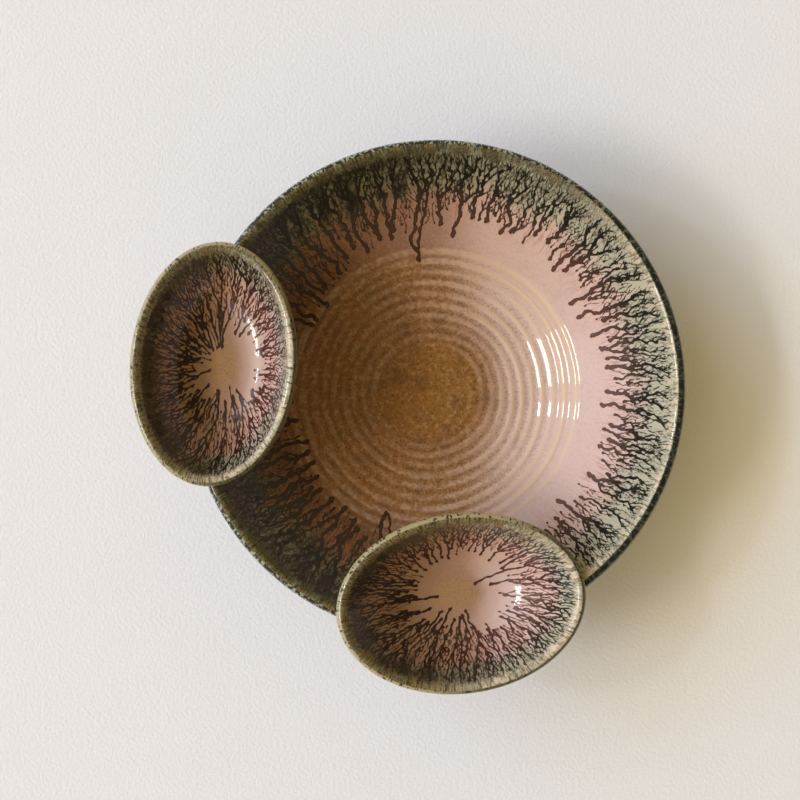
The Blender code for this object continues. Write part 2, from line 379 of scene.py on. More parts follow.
class Flow:
    """Many thin runs of glaze creeping down from the rim of a form, side by side in order of angle.
    Each has a drift sideways, a load, the fall at which it ends, whether it leads, the angle it then
    aims for and how fast its load grows. Lengths are in mm; a step down the wall is one step in
    time."""

    STEP = 0.5
    START = 2.5
    PAST_STOP = 60.0
    FLOOR_ROOM = 2.0
    SPLIT_CHANCE = 0.04
    SPLIT_LOAD = 1.0
    BIRTH_GAPS = (2.4, 60.0)
    TOUCHING = 0.65
    PULL = 0.10
    PULL_RANGE = 2.2
    PULL_RATIO = 1.3
    DRIFT_KEPT = 0.76
    DRIFT_LIMIT = 1.2
    # How far past its end, and how big, each dab of a run's last drop is, in half widths.
    DROP = ((0.2, 0.9), (0.8, 1.0), (1.5, 0.75))

    def __init__(self, form, plan):
        self.form = form
        self.plan = plan
        self.draw = np.random.default_rng(plan["seed"])
        count = int(math.tau * form.reach / MM / plan["spacing"])
        angle = (np.arange(count) + self.draw.uniform(-0.4, 0.4, count)) * math.tau / count
        load = self.draw.uniform(0.5, 2.6, count) * round_values(form, plan["heft"], angle)
        end = self.ends(angle, 0.35 * self.draw.uniform(0.0, 1.0, count) ** 1.7)
        runs = dict(angle=angle, drift=np.zeros(count), load=load, end=end, lead=np.zeros(count),
                    aim=angle.copy(), gain=np.zeros(count))
        for start, goal, distance, weight in plan["long_runs"]:
            first = form.place(start)[0]
            aim, share = form.place(goal, distance * MM)
            away = np.abs((runs["angle"] - first + math.pi) % math.tau - math.pi)
            away[runs["lead"] > 0] = math.pi
            chosen = int(np.argmin(away))
            runs["angle"][chosen] = first
            runs["load"][chosen] = 0.12 * weight
            runs["end"][chosen] = form.inside.fall_at(share) / MM
            runs["gain"][chosen] = 0.7 * weight * self.STEP / runs["end"][chosen]
            runs["lead"][chosen] = 1.0
            runs["aim"][chosen] = first + (aim - first + math.pi) % math.tau - math.pi
        self.runs = runs
        self.dabs = []

    def ends(self, angle, short_of):
        """The falls at which runs end, short of the common reach by a share of the way."""
        reach = round_values(self.form, self.plan["reach"], angle)
        return self.form.inside.fall_at(reach + (1.0 - reach) * short_of * 2.0) / MM

    def keep(self, wanted):
        self.runs = {name: values[wanted] for name, values in self.runs.items()}

    def add(self, **new):
        self.runs = {name: np.concatenate([values, new[name]]) for name, values in self.runs.items()}

    def merge(self, spread):
        """Neighbours that touch become one run."""
        runs = self.runs
        gap = round_gaps(runs["angle"]) * spread
        half = half_width(runs["load"], self.plan["widest"])
        kept = np.ones(len(gap), bool)
        for here in np.flatnonzero(gap < self.TOUCHING * (half + np.roll(half, -1))):
            there = (here + 1) % len(gap)
            if not kept[here] or not kept[there]:
                continue
            total = runs["load"][here] + runs["load"][there]
            if runs["lead"][there] > runs["lead"][here]:
                for name in ("angle", "drift", "aim", "end", "gain"):
                    runs[name][here] = runs[name][there]
            elif runs["lead"][here] == 0:
                runs["angle"][here] += gap[here] / spread[here] * runs["load"][there] / total
                runs["end"][here] = max(runs["end"][here], runs["end"][there])
            runs["load"][here] = total
            runs["lead"][here] = max(runs["lead"][here], runs["lead"][there])
            kept[there] = False
        self.keep(kept)

    def stop(self, fall):
        """Runs that have come to their ends swell into round drops there."""
        runs = self.runs
        ended = fall >= runs["end"]
        swollen = half_width(runs["load"], self.plan["widest"])[ended] * 1.25 + 0.14
        spread = self.spread()[ended]
        for further, size in self.DROP:
            aside = self.draw.uniform(-0.45, 0.45, len(swollen)) * swollen / spread
            self.dabs.append((runs["angle"][ended] + aside, fall + further * swollen, swollen * size))
        self.keep(~ended)

    def wander(self, spread):
        """Runs lean towards heavier neighbours; the leading ones make for their aims."""
        runs = self.runs
        gap = round_gaps(runs["angle"]) * spread
        load = runs["load"]
        lighter = self.PULL_RATIO * load
        ahead = (np.roll(load, -1) > lighter) * np.exp(-gap / self.PULL_RANGE)
        behind = (np.roll(load, 1) > lighter) * np.exp(-np.roll(gap, 1) / self.PULL_RANGE)
        shove = self.draw.normal(0.0, self.plan["wobble"], len(gap))
        runs["drift"] = self.DRIFT_KEPT * runs["drift"] + shove + self.PULL * (ahead - behind)
        move = self.STEP * np.clip(runs["drift"], -self.DRIFT_LIMIT, self.DRIFT_LIMIT) / spread
        left = np.maximum(runs["end"] - self.fall, self.STEP)
        steer = runs["lead"] * (runs["aim"] - runs["angle"]) * np.minimum(1.0, 1.6 * self.STEP / left)
        runs["angle"] = runs["angle"] + move + steer
        runs["load"] = runs["load"] + runs["gain"]

    def branch(self, spread):
        """Heavy runs split now and then, and thin new ones start where there is room."""
        runs = self.runs
        angle = runs["angle"]
        gap = round_gaps(angle % math.tau) * spread
        young = self.fall < self.plan["branching"] * self.ends(angle, 0.0)
        splitting = self.draw.random(len(angle)) < self.SPLIT_CHANCE
        splits = np.flatnonzero(young & (runs["load"] > self.SPLIT_LOAD) & splitting)
        roomy = (gap > self.BIRTH_GAPS[0]) & (gap < self.BIRTH_GAPS[1])
        starting = self.draw.random(len(angle)) < self.plan["births"]
        births = np.flatnonzero(young & roomy & starting)
        side = self.draw.choice([-1.0, 1.0], len(splits))
        out = side * (half_width(runs["load"][splits], self.plan["widest"]) + 0.3) / spread[splits]
        between = gap[births] / spread[births] * self.draw.uniform(0.35, 0.65, len(births))
        still_to_go = runs["end"][splits] - self.fall
        split_end = self.fall + still_to_go * self.draw.uniform(0.4, 1.0, len(splits))
        starts = np.concatenate([angle[splits] + out, angle[births] + between])
        self.add(angle=starts, aim=starts, lead=np.zeros(len(starts)), gain=np.zeros(len(starts)),
                 drift=np.concatenate([side * 0.9, self.draw.normal(0.0, 0.4, len(births))]),
                 load=np.concatenate([np.minimum(runs["load"][splits] * 0.4, 3.0),
                                      self.draw.uniform(0.2, 1.6, len(births))]),
                 end=np.concatenate([split_end, self.fall + self.draw.uniform(4.0, 15.0, len(births))]))

    def spread(self):
        share, out, _ = self.form.inside.at(self.fall * MM)
        return self.form.spread(share, out, self.runs["angle"]) / MM

    def settle(self):
        """Lets the glaze run to its end and paints where it went."""
        last = self.form.inside.fall_at(self.plan["stop"]) / MM + self.PAST_STOP
        for self.fall in np.arange(self.START, last, self.STEP):
            self.runs["angle"] = self.runs["angle"] % math.tau
            aim_off = self.runs["aim"] - self.runs["angle"]
            self.runs["aim"] = self.runs["angle"] + (aim_off + math.pi) % math.tau - math.pi
            self.keep(np.argsort(self.runs["angle"]))
            if len(self.runs["angle"]) < 2:
                break
            self.merge(self.spread())
            half = half_width(self.runs["load"], self.plan["widest"])
            pulse = 1.0 + 0.15 * np.sin(self.fall * 0.9 + self.runs["angle"] * 37.0)
            pulse = pulse + self.draw.normal(0.0, 0.07, len(half))
            self.dabs.append((self.runs["angle"], np.full(len(half), self.fall), half * pulse))
            self.stop(self.fall)
            self.wander(self.spread())
            self.branch(self.spread())
        runs = RunMap(self.form)
        angle, fall, half = [np.concatenate([dab[part] for dab in self.dabs]) for part in range(3)]
        room = fall < self.form.inside.length / MM - self.FLOOR_ROOM
        runs.paint(angle[room], fall[room], half[room])
        return runs


# ---------------------------------------------------------------- meshes


def skin(name, rows):
    """A closed mesh over rings of points between two single points. Neighbouring rings have as many
    points each, or one has three times the other's."""
    rows = [np.atleast_2d(row) for row in rows]
    starts = np.cumsum([0] + [len(row) for row in rows])
    faces = []
    for index in range(1, len(rows) - 2):
        here = len(rows[index])
        there = len(rows[index + 1])
        few = np.arange(min(here, there))
        after = (few + 1) % len(few)
        near = starts[index]
        far = starts[index + 1]
        if here == there:
            loop = [near + few, far + few, far + after, near + after]
        elif there > here:
            loop = [near + few, far + 3 * few, far + 3 * few + 1, far + 3 * few + 2, far + 3 * after,
                    near + after]
        else:
            loop = [near + 3 * few, far + few, far + after, near + 3 * after, near + 3 * few + 2,
                    near + 3 * few + 1]
        faces += np.stack(loop, axis=1).tolist()
    first = np.arange(len(rows[1]))
    last = np.arange(len(rows[-2]))
    first_after = starts[1] + (first + 1) % len(first)
    last_after = starts[-3] + (last + 1) % len(last)
    faces += np.stack([np.zeros_like(first), starts[1] + first, first_after], axis=1).tolist()
    faces += np.stack([np.full_like(last, starts[-2]), last_after, starts[-3] + last], axis=1).tolist()
    mesh = bpy.data.meshes.new(name)
    mesh.from_pydata(np.concatenate(rows).tolist(), [], faces)
    mesh.shade_smooth()
    return mesh


def place_piece(name, mesh, finish=None):
    piece = bpy.data.objects.new(name, mesh)
    bpy.context.collection.objects.link(piece)
    if finish:
        mesh.materials.clear()
        mesh.materials.append(finish)
    return piece


def mesh_points(mesh):
    flat = np.empty(len(mesh.vertices) * 3, np.float32)
    mesh.vertices.foreach_get("co", flat)
    return flat.reshape(-1, 3).astype(float)


def store(mesh, name, values):
    """Keeps three values at each point of a mesh, for its finish to read."""
    layer = mesh.attributes.new(name, "FLOAT_VECTOR", "POINT")
    layer.data.foreach_set("vector", np.stack(values, axis=1).astype(np.float32).ravel())


def unroll(mesh, form, angle, fall):
    """The bowl's UV map: its inside as one disc and its outside as a smaller one, each with the fall
    as its radius. A face lies on the outside's disc if all of its points are outside."""
    loops = np.empty(len(mesh.loops), np.int32)
    mesh.loops.foreach_get("vertex_index", loops)
    sizes = np.empty(len(mesh.polygons), np.int32)
    mesh.polygons.foreach_get("loop_total", sizes)
    starts = np.concatenate([[0], np.cumsum(sizes)[:-1]])
    outside = np.repeat(np.maximum.reduceat(fall[loops], starts) <= 1e-7, sizes)
    turned = np.stack([np.cos(angle), np.sin(angle)], axis=1)[loops]
    inner = (1.0 - np.maximum(fall[loops], 0.0) / form.inside.length)[:, None]
    outer = (1.0 + np.minimum(fall[loops], 0.0) / form.outside.length)[:, None]
    flat = np.where(outside[:, None], OUTSIDE_DISC[0] + OUTSIDE_DISC[1] * turned * outer,
                    INSIDE_DISC[0] + INSIDE_DISC[1] * turned * inner)
    layer = mesh.uv_layers.new(name="OFBake")
    layer.data.foreach_set("uv", flat.astype(np.float32).ravel())


def ring_wave(form, points):
    """How high a throwing ring stands at each point, from 0 to 1."""
    across = points[:, 0] - form.centre[0] - RING_MIDDLE[0]
    along = points[:, 1] - form.centre[1] - RING_MIDDLE[1]
    radius = np.hypot(across, along)
    angle = np.arctan2(along, across)
    waver = 0.10 * np.sin(2 * angle + radius / (9 * MM)) + 0.06 * np.sin(5 * angle + 1.3)
    turns = (radius - RING_INNER) / RING_PITCH + angle / math.tau + waver
    crest = (0.5 + 0.5 * np.cos(math.tau * turns)) ** 1.3
    row = np.floor(turns + 0.5)
    uneven = 0.74 + 0.26 * np.sin(row * 2.4 + 1.5 * np.sin(angle + row) + 0.6 * np.sin(3 * angle + row))
    band = smooth(radius, RING_INNER - 4 * MM, RING_INNER + 2 * MM)
    band = band * smooth(radius, RING_OUTER + 5 * MM, RING_OUTER)
    heart = 0.30 * smooth(radius, RING_INNER, RING_INNER - 6 * MM) * smooth(radius, 6 * MM, 14 * MM)
    uneven = uneven * (0.85 + 0.35 * smooth(radius, RING_OUTER - 12 * MM, RING_OUTER - 5 * MM))
    return np.minimum(1.0, crest * uneven) * np.maximum(band, heart)


def stations(line, stops):
    """Falls down a line, with a new spacing from each stop on: (fall, spacing)."""
    found = []
    for index, (start, spacing) in enumerate(stops):
        last = index == len(stops) - 1
        end = line.length - spacing / 2 if last else stops[index + 1][0]
        found.append(np.arange(start, end, spacing))
    return np.concatenate(found)


def form_skin(name, form, inside_stops, outside_stops, columns, thin_from):
    """A mesh over a whole form, with the angle and fall of its points; the fall is negative outside.
    Rings that lie further down than the two thinning falls have a third of the points."""
    rows = [form.points(0.0, 0.0, form.inside.height[-1], 0.0)]
    angles = [[0.0]]
    falls = [[form.inside.length]]
    sides = ((1, form.inside, stations(form.inside, inside_stops)[::-1], thin_from[0]),
             (-1, form.outside, stations(form.outside, outside_stops)[1:], thin_from[1]))
    for sign, line, side_falls, thinner in sides:
        for fall in side_falls:
            count = columns // 3 if fall > thinner else columns
            turns = np.arange(count) * math.tau / count
            share, out, height = line.at(fall)
            rows.append(form.points(share, out, height, turns))
            angles.append(turns)
            falls.append(np.full(count, sign * fall))
    rows.append(form.points(0.0, 0.0, form.outside.height[-1], 0.0))
    angles.append([0.0])
    falls.append([-form.outside.length])
    return skin(name, rows), np.concatenate(angles), np.concatenate(falls)


def wide_places(form, points):
    """The angle and fall of points on the wide bowl, with the fall negative outside. Points on the
    cut edges of its wall count as inside."""
    long, short = form.plan(points)
    radius = np.hypot(long, short)
    height = points[:, 2]
    inside = form.inside
    outside = form.outside
    inner = inside.across(radius, inside.fall, 0)
    side = np.interp(height, outside.height[::-1], outside.radius[::-1])
    on_side = np.abs(radius - side) < ON_SURFACE
    above_base = height - outside.across(radius, outside.height)
    on_base = (np.abs(above_base) < ON_SURFACE) & (radius < 0.6 * form.reach)
    by_height = np.interp(height, outside.height[::-1], outside.fall[::-1])
    outer = np.where(on_base, outside.across(radius, outside.fall), by_height)
    above = np.abs(height - inside.across(radius, inside.height, 0)) < ON_SURFACE
    is_outer = (on_side | on_base) & ~(above & (radius < form.reach))
    return np.arctan2(short, long) % math.tau, np.where(is_outer, -outer, inner)


def coat(form, mesh, angle, fall, runs, ringed=False):
    """Stores what the glaze needs to know at each point, lays out the UV map, and raises the throwing
    rings and the dark runs."""
    points = mesh_points(mesh)
    inner = fall > 0
    edge, size = runs.sample(angle, np.maximum(fall, 0.0))
    edge = np.where(inner, edge, runs.MARGIN)
    share = np.where(inner, form.inside.at(fall)[0], form.outside.at(-fall)[0])
    ridge = ring_wave(form, points) * inner if ringed else np.zeros(len(points))
    store(mesh, "runs", [edge, size, share])
    store(mesh, "place", [form.reach * np.cos(angle), form.reach * np.sin(angle), fall])
    store(mesh, "spot", [(points[:, 0] - form.centre[0]) / form.reach,
                         (points[:, 1] - form.centre[1]) / form.reach, ridge])
    unroll(mesh, form, angle, fall)
    standing = RUN_RELIEF * smooth(edge, 0.25, -0.35) * inner * smooth(fall, 2 * MM, 6 * MM)
    points[:, 2] += RING_HEIGHT * ridge + standing
    mesh.vertices.foreach_set("co", points.astype(np.float32).ravel())
    mesh.update()


def dip_room(form):
    """The room a dip bowl takes out of the wide bowl's wall: the dip bowl's outside, sunk a little
    into its own wall, and carried straight up past its rim."""
    line = form.line(-1, -SINK)
    turns = np.arange(ROOM_SIDES) * math.tau / ROOM_SIDES
    widest = form.rim / 2 - SINK
    top = form.high + ROOM_ABOVE
    rows = [form.points(0.0, 0.0, top, 0.0), form.points(1.0, widest, top, turns),
            form.points(1.0, widest, form.high, turns)]
    for fall in np.linspace(0.0, line.length, ROOM_ROWS)[1:-1]:
        share, out, height = line.at(fall)
        if height < form.high - 0.5 * MM:
            rows.append(form.points(share, out, height, turns))
    rows.append(form.points(0.0, 0.0, line.height[-1], 0.0))
    return place_piece("dip_room", skin("dip_room", rows))


def carved(mesh, rooms):
    """The mesh with the rooms cut out of it."""
    block = place_piece("block", mesh)
    for room in rooms:
        boolean = block.modifiers.new("notch", "BOOLEAN")
        boolean.operation = "DIFFERENCE"
        boolean.solver = "MANIFOLD"
        boolean.object = room
    graph = bpy.context.evaluated_depsgraph_get()
    done = bpy.data.meshes.new_from_object(block.evaluated_get(graph))
    for thing in [block, *rooms]:
        bpy.data.objects.remove(thing)
    return done


def seam_stations(form, wide, line):
    """Where the outside of a dip bowl, followed outwards from its underside, first meets a surface of
    the wide bowl's wall: (angle, fall) pairs round the side that faces the wide bowl's middle."""
    falls = np.linspace(form.outside.length, 0.0, SEAM_FALLS)
    share, out, height = form.outside.at(falls)
    found = []
    for angle in np.linspace(-math.pi, 0.0, SEAM_ROWS):
        points = form.points(share, out, height, angle)
        radius = np.hypot(points[:, 0] - wide.centre[0], points[:, 1] - wide.centre[1])
        above = height - line.across(radius, line.height)
        met = np.flatnonzero((above > 0.0) & (radius < line.radius[ARC_STEPS]))
        if len(met) and met[0] > 0 and height[met[0]] < wide.high + wide.rim / 2 - SEAM_STOP:
            found.append((angle, falls[met[0]]))
    return found


def seam_rows(form, wide, side):
    """Sections along a coved seam in the corner between a dip bowl's outside and one side of the wide
    bowl's wall."""
    line = wide.inside if side > 0 else wide.outside
    path = seam_stations(form, wide, line)
    spots = []
    for angle, fall in path:
        spots.append(Vector(form.points(*form.outside.at(fall), angle)))
    rows = []
    for index, (angle, fall) in enumerate(path):
        here = spots[index]
        ahead = (spots[min(index + 1, len(spots) - 1)] - spots[max(index - 1, 0)]).normalized()
        steeper = Vector(form.points(*form.outside.at(fall - 0.5 * MM), angle))
        beside = Vector(form.points(*form.outside.at(fall), angle + 0.01))
        dip_out = (beside - here).cross(steeper - here).normalized()
        middle = Vector((*form.centre, here.z))
        if dip_out.dot(here - middle) < 0 and dip_out.z > 0:
            dip_out.negate()
        away = Vector((here.x - wide.centre[0], here.y - wide.centre[1], 0.0))
        radius = away.length
        near, far = line.across([radius - MM, radius + MM], line.height)
        slope = float(far - near) / (2 * MM)
        wide_out = (Vector((0.0, 0.0, 1.0)) - slope * away.normalized()).normalized() * side
        on_wide = wide_out.cross(ahead).normalized()
        on_dip = dip_out.cross(ahead).normalized()
        if on_wide.dot(dip_out) < 0:
            on_wide.negate()
        if on_dip.dot(wide_out) < 0:
            on_dip.negate()
        end_share = min(1.0, min(index, len(path) - 1 - index) / (0.15 * len(path)))
        leg = SEAM_END_LEG + (SEAM_LEG - SEAM_END_LEG) * end_share
        row = []
        for share in np.linspace(0.0, 1.0, COVE_POINTS):
            cove = on_wide * (leg * (1 - share) ** 2) + on_dip * (leg * share**2)
            row.append(here + cove)
        row.append(here + on_dip * leg - dip_out * SEAM_SINK)
        row.append(here - (wide_out + dip_out) * SEAM_SINK)
        row.append(here + on_wide * leg - wide_out * SEAM_SINK)
        rows.append(row)
    return rows


def seam_mesh(name, form, wide, side):
    rows = seam_rows(form, wide, side)
    rings = [np.array([tuple(point) for point in row]) for row in rows]
    middles = [ring.mean(axis=0) for ring in rings]
    mesh = skin(name, [middles[0], *rings, middles[-1]])
    if sum(face.center.dot(face.normal) * face.area for face in mesh.polygons) < 0:
        mesh.flip_normals()
    return mesh


def foot_mesh(wide):
    """The foot ring, rounded below and rising a little into the bowl above it."""
    low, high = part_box("foot_ring")
    outer = (high.x - low.x) / 2
    inner = outer - FOOT_WIDTH
    turns = np.linspace(0.0, math.pi / 2, 5)
    corner = FOOT_ROUNDING
    profile = [(outer - corner + corner * math.cos(turn), low.z + corner - corner * math.sin(turn))
               for turn in turns]
    profile += [(inner + corner - corner * math.sin(turn), low.z + corner - corner * math.cos(turn))
                for turn in turns]
    for radius in np.linspace(inner, outer, 5):
        profile.append((radius, wide.outside.across(radius, wide.outside.height) + 0.5 * MM))
    points = []
    faces = []
    for side in range(FOOT_SIDES):
        turn = math.tau * side / FOOT_SIDES
        for step, (radius, height) in enumerate(profile):
            points.append((wide.centre[0] + radius * math.cos(turn),
                           wide.centre[1] + radius * math.sin(turn), height))
            step_after = (step + 1) % len(profile)
            here = side * len(profile)
            after = (side + 1) % FOOT_SIDES * len(profile)
            faces.append((here + step, here + step_after, after + step_after, after + step))
    mesh = bpy.data.meshes.new("foot_ring")
    mesh.from_pydata(points, [], faces)
    mesh.shade_smooth()
    return mesh


# ---------------------------------------------------------------- finishes


class Amount:
    """A number, colour or vector on its way through a finish. Arithmetic on a number adds Math
    nodes."""

    def __init__(self, finish, link):
        self.finish = finish
        self.link = link

    def math(self, operation, *others):
        return self.finish.node("ShaderNodeMath", dict(operation=operation), dict(enumerate(others)))

    def __add__(self, other):
        return self.math("ADD", self, other)

    def __sub__(self, other):
        return self.math("SUBTRACT", self, other)

    def __rsub__(self, other):
        return self.math("SUBTRACT", other, self)

    def __mul__(self, other):
        return self.math("MULTIPLY", self, other)

    __radd__ = __add__
    __rmul__ = __mul__


class Finish:
    """A material or a world under construction."""

    def __init__(self, owner, shader="Principled BSDF"):
        self.owner = owner
        owner.use_nodes = True
        self.tree = owner.node_tree
        self.shader = self.tree.nodes[shader]

    def node(self, kind, settings, values, output=0):
        """One output of a new node, whose settings are made before its sockets are filled."""
        made = self.tree.nodes.new(kind)
        for name, value in settings.items():
            setattr(made, name, value)
        for name, value in values.items():
            self.fill(made.inputs[name], value)
        return Amount(self, made.outputs[output])

    def fill(self, socket, value):
        if isinstance(value, Amount):
            self.tree.links.new(value.link, socket)
        elif socket.type == "RGBA":
            socket.default_value = (*value, 1.0)
        else:
            socket.default_value = value

    def set(self, **values):
        """Fills the shader's sockets; an underscore stands for the space in a socket's name."""
        for name, value in values.items():
            self.fill(self.shader.inputs[name.replace("_", " ")], value)

    def attribute(self, name):
        return self.node("ShaderNodeAttribute", dict(attribute_name=name), {}, output=1)

    def surface(self):
        """The place on the piece, in metres."""
        return self.node("ShaderNodeTexCoord", {}, {}, output=3)

    def parts(self, vector):
        split = self.node("ShaderNodeSeparateXYZ", {}, {0: vector})
        outputs = split.link.node.outputs
        return [Amount(self, outputs[index]) for index in range(3)]

    def stretched(self, vector, scale):
        return self.node("ShaderNodeVectorMath", dict(operation="MULTIPLY"), {0: vector, 1: scale})

    def shifted(self, vector, other):
        return self.node("ShaderNodeVectorMath", dict(operation="ADD"), {0: vector, 1: other})

    def noise(self, vector, size, detail=2.0, output=0):
        """Noise from 0 to 1 whose patches are about this many millimetres across."""
        values = dict(Vector=vector, Scale=1.0 / (size * MM), Detail=detail, Roughness=0.55)
        return self.node("ShaderNodeTexNoise", {}, values, output)

    def crackle(self, vector, size):
        """The distance to the nearest edge between cells of this many millimetres, as a share."""
        values = dict(Vector=vector, Scale=1.0 / (size * MM), Randomness=1.0)
        return self.node("ShaderNodeTexVoronoi", dict(feature="DISTANCE_TO_EDGE"), values)

    def step(self, value, low, high):
        """0 at low, 1 at high, with soft ends; low may be the larger."""
        values = {"Value": value, "From Min": low, "From Max": high}
        return self.node("ShaderNodeMapRange", dict(interpolation_type="SMOOTHSTEP"), values)

    def mix(self, share, first, second):
        """A colour between two."""
        settings = dict(data_type="RGBA", clamp_factor=True)
        return self.node("ShaderNodeMix", settings, {0: share, 6: first, 7: second}, output=2)

    def bump(self, height, depth, strength):
        values = dict(Height=height, Distance=depth, Strength=strength)
        self.set(Normal=self.node("ShaderNodeBump", {}, values))


# Colours, as linear red, green and blue.
HEART_BROWN = (0.290, 0.124, 0.021)
FLOOR_BROWN = (0.290, 0.120, 0.036)
MOTTLE_DARK = (0.120, 0.052, 0.012)
MOTTLE_PALE = (0.430, 0.240, 0.085)
# The first two mauves below are the walls' colour in painted shade on the west and north, for the wide
# bowl and for the dips; the last, palest one is partly a painted sheen on the east walls over their own
# paler mauve.
MAUVE_SHADE = (0.155, 0.054, 0.016)
MAUVE_TAN_SHADE = (0.360, 0.205, 0.110)
MAUVE = (0.470, 0.262, 0.200)
MAUVE_PALE_SHEEN = (0.660, 0.450, 0.370)
RING_CREAM = (0.660, 0.445, 0.300)
OLIVE = (0.060, 0.064, 0.026)
OLIVE_PALE = (0.190, 0.205, 0.120)
CELADON = (0.410, 0.400, 0.270)
RUST = (0.360, 0.130, 0.090)
RUN_BLACK = (0.008, 0.008, 0.005)
RUN_BROWN = (0.030, 0.011, 0.006)
RUN_RED = (0.200, 0.062, 0.048)
RUN_HEART = (0.135, 0.038, 0.028)
CREST_GOLD = (0.175, 0.122, 0.030)
CREST_BUFF = (0.420, 0.350, 0.180)
CREST_CREAM = (0.660, 0.550, 0.380)
LIP_DARK = (0.014, 0.014, 0.009)
LIP_PALE = (0.310, 0.335, 0.225)
SKIRT_BROWN = (0.150, 0.070, 0.042)
STONEWARE = (0.470, 0.370, 0.270)
IRON = (0.070, 0.040, 0.024)
STONEWARE_SHADE = (0.360, 0.265, 0.185)
# Near-black for the coves between the bowls: pooled glaze, and painted shade in these corners.
POOL_AND_SHADE_BLACK = (0.010, 0.009, 0.006)
DIP_HEART = (0.420, 0.240, 0.110)
DIP_FLOOR = (0.410, 0.230, 0.130)
PAPER = (0.800, 0.790, 0.790)
PAPER_PALE = (0.820, 0.812, 0.812)

# How the glaze lies on each bowl, in the words of the glaze function.
WIDE_GLAZE = dict(
    zone=(0.79, 0.90), floor_ends=(0.50, 0.68), centre_colour=HEART_BROWN, floor_colour=FLOOR_BROWN,
    rim=dict(crest=7.0, gold=0.15, pale=0.0, dark=1.9, haze=(0.19, 0.38), mottle=1.0, lip=LIP_PALE,
             shade=MAUVE_SHADE))
DIP_GLAZE = dict(
    zone=(0.74, 0.90), floor_ends=(0.10, 0.40), centre_colour=DIP_HEART, floor_colour=DIP_FLOOR,
    rim=dict(crest=6.0, gold=0.9, pale=0.12, dark=0.0, haze=(0.1, 0.3), mottle=0.35, lip=CREST_BUFF,
             shade=MAUVE_TAN_SHADE))


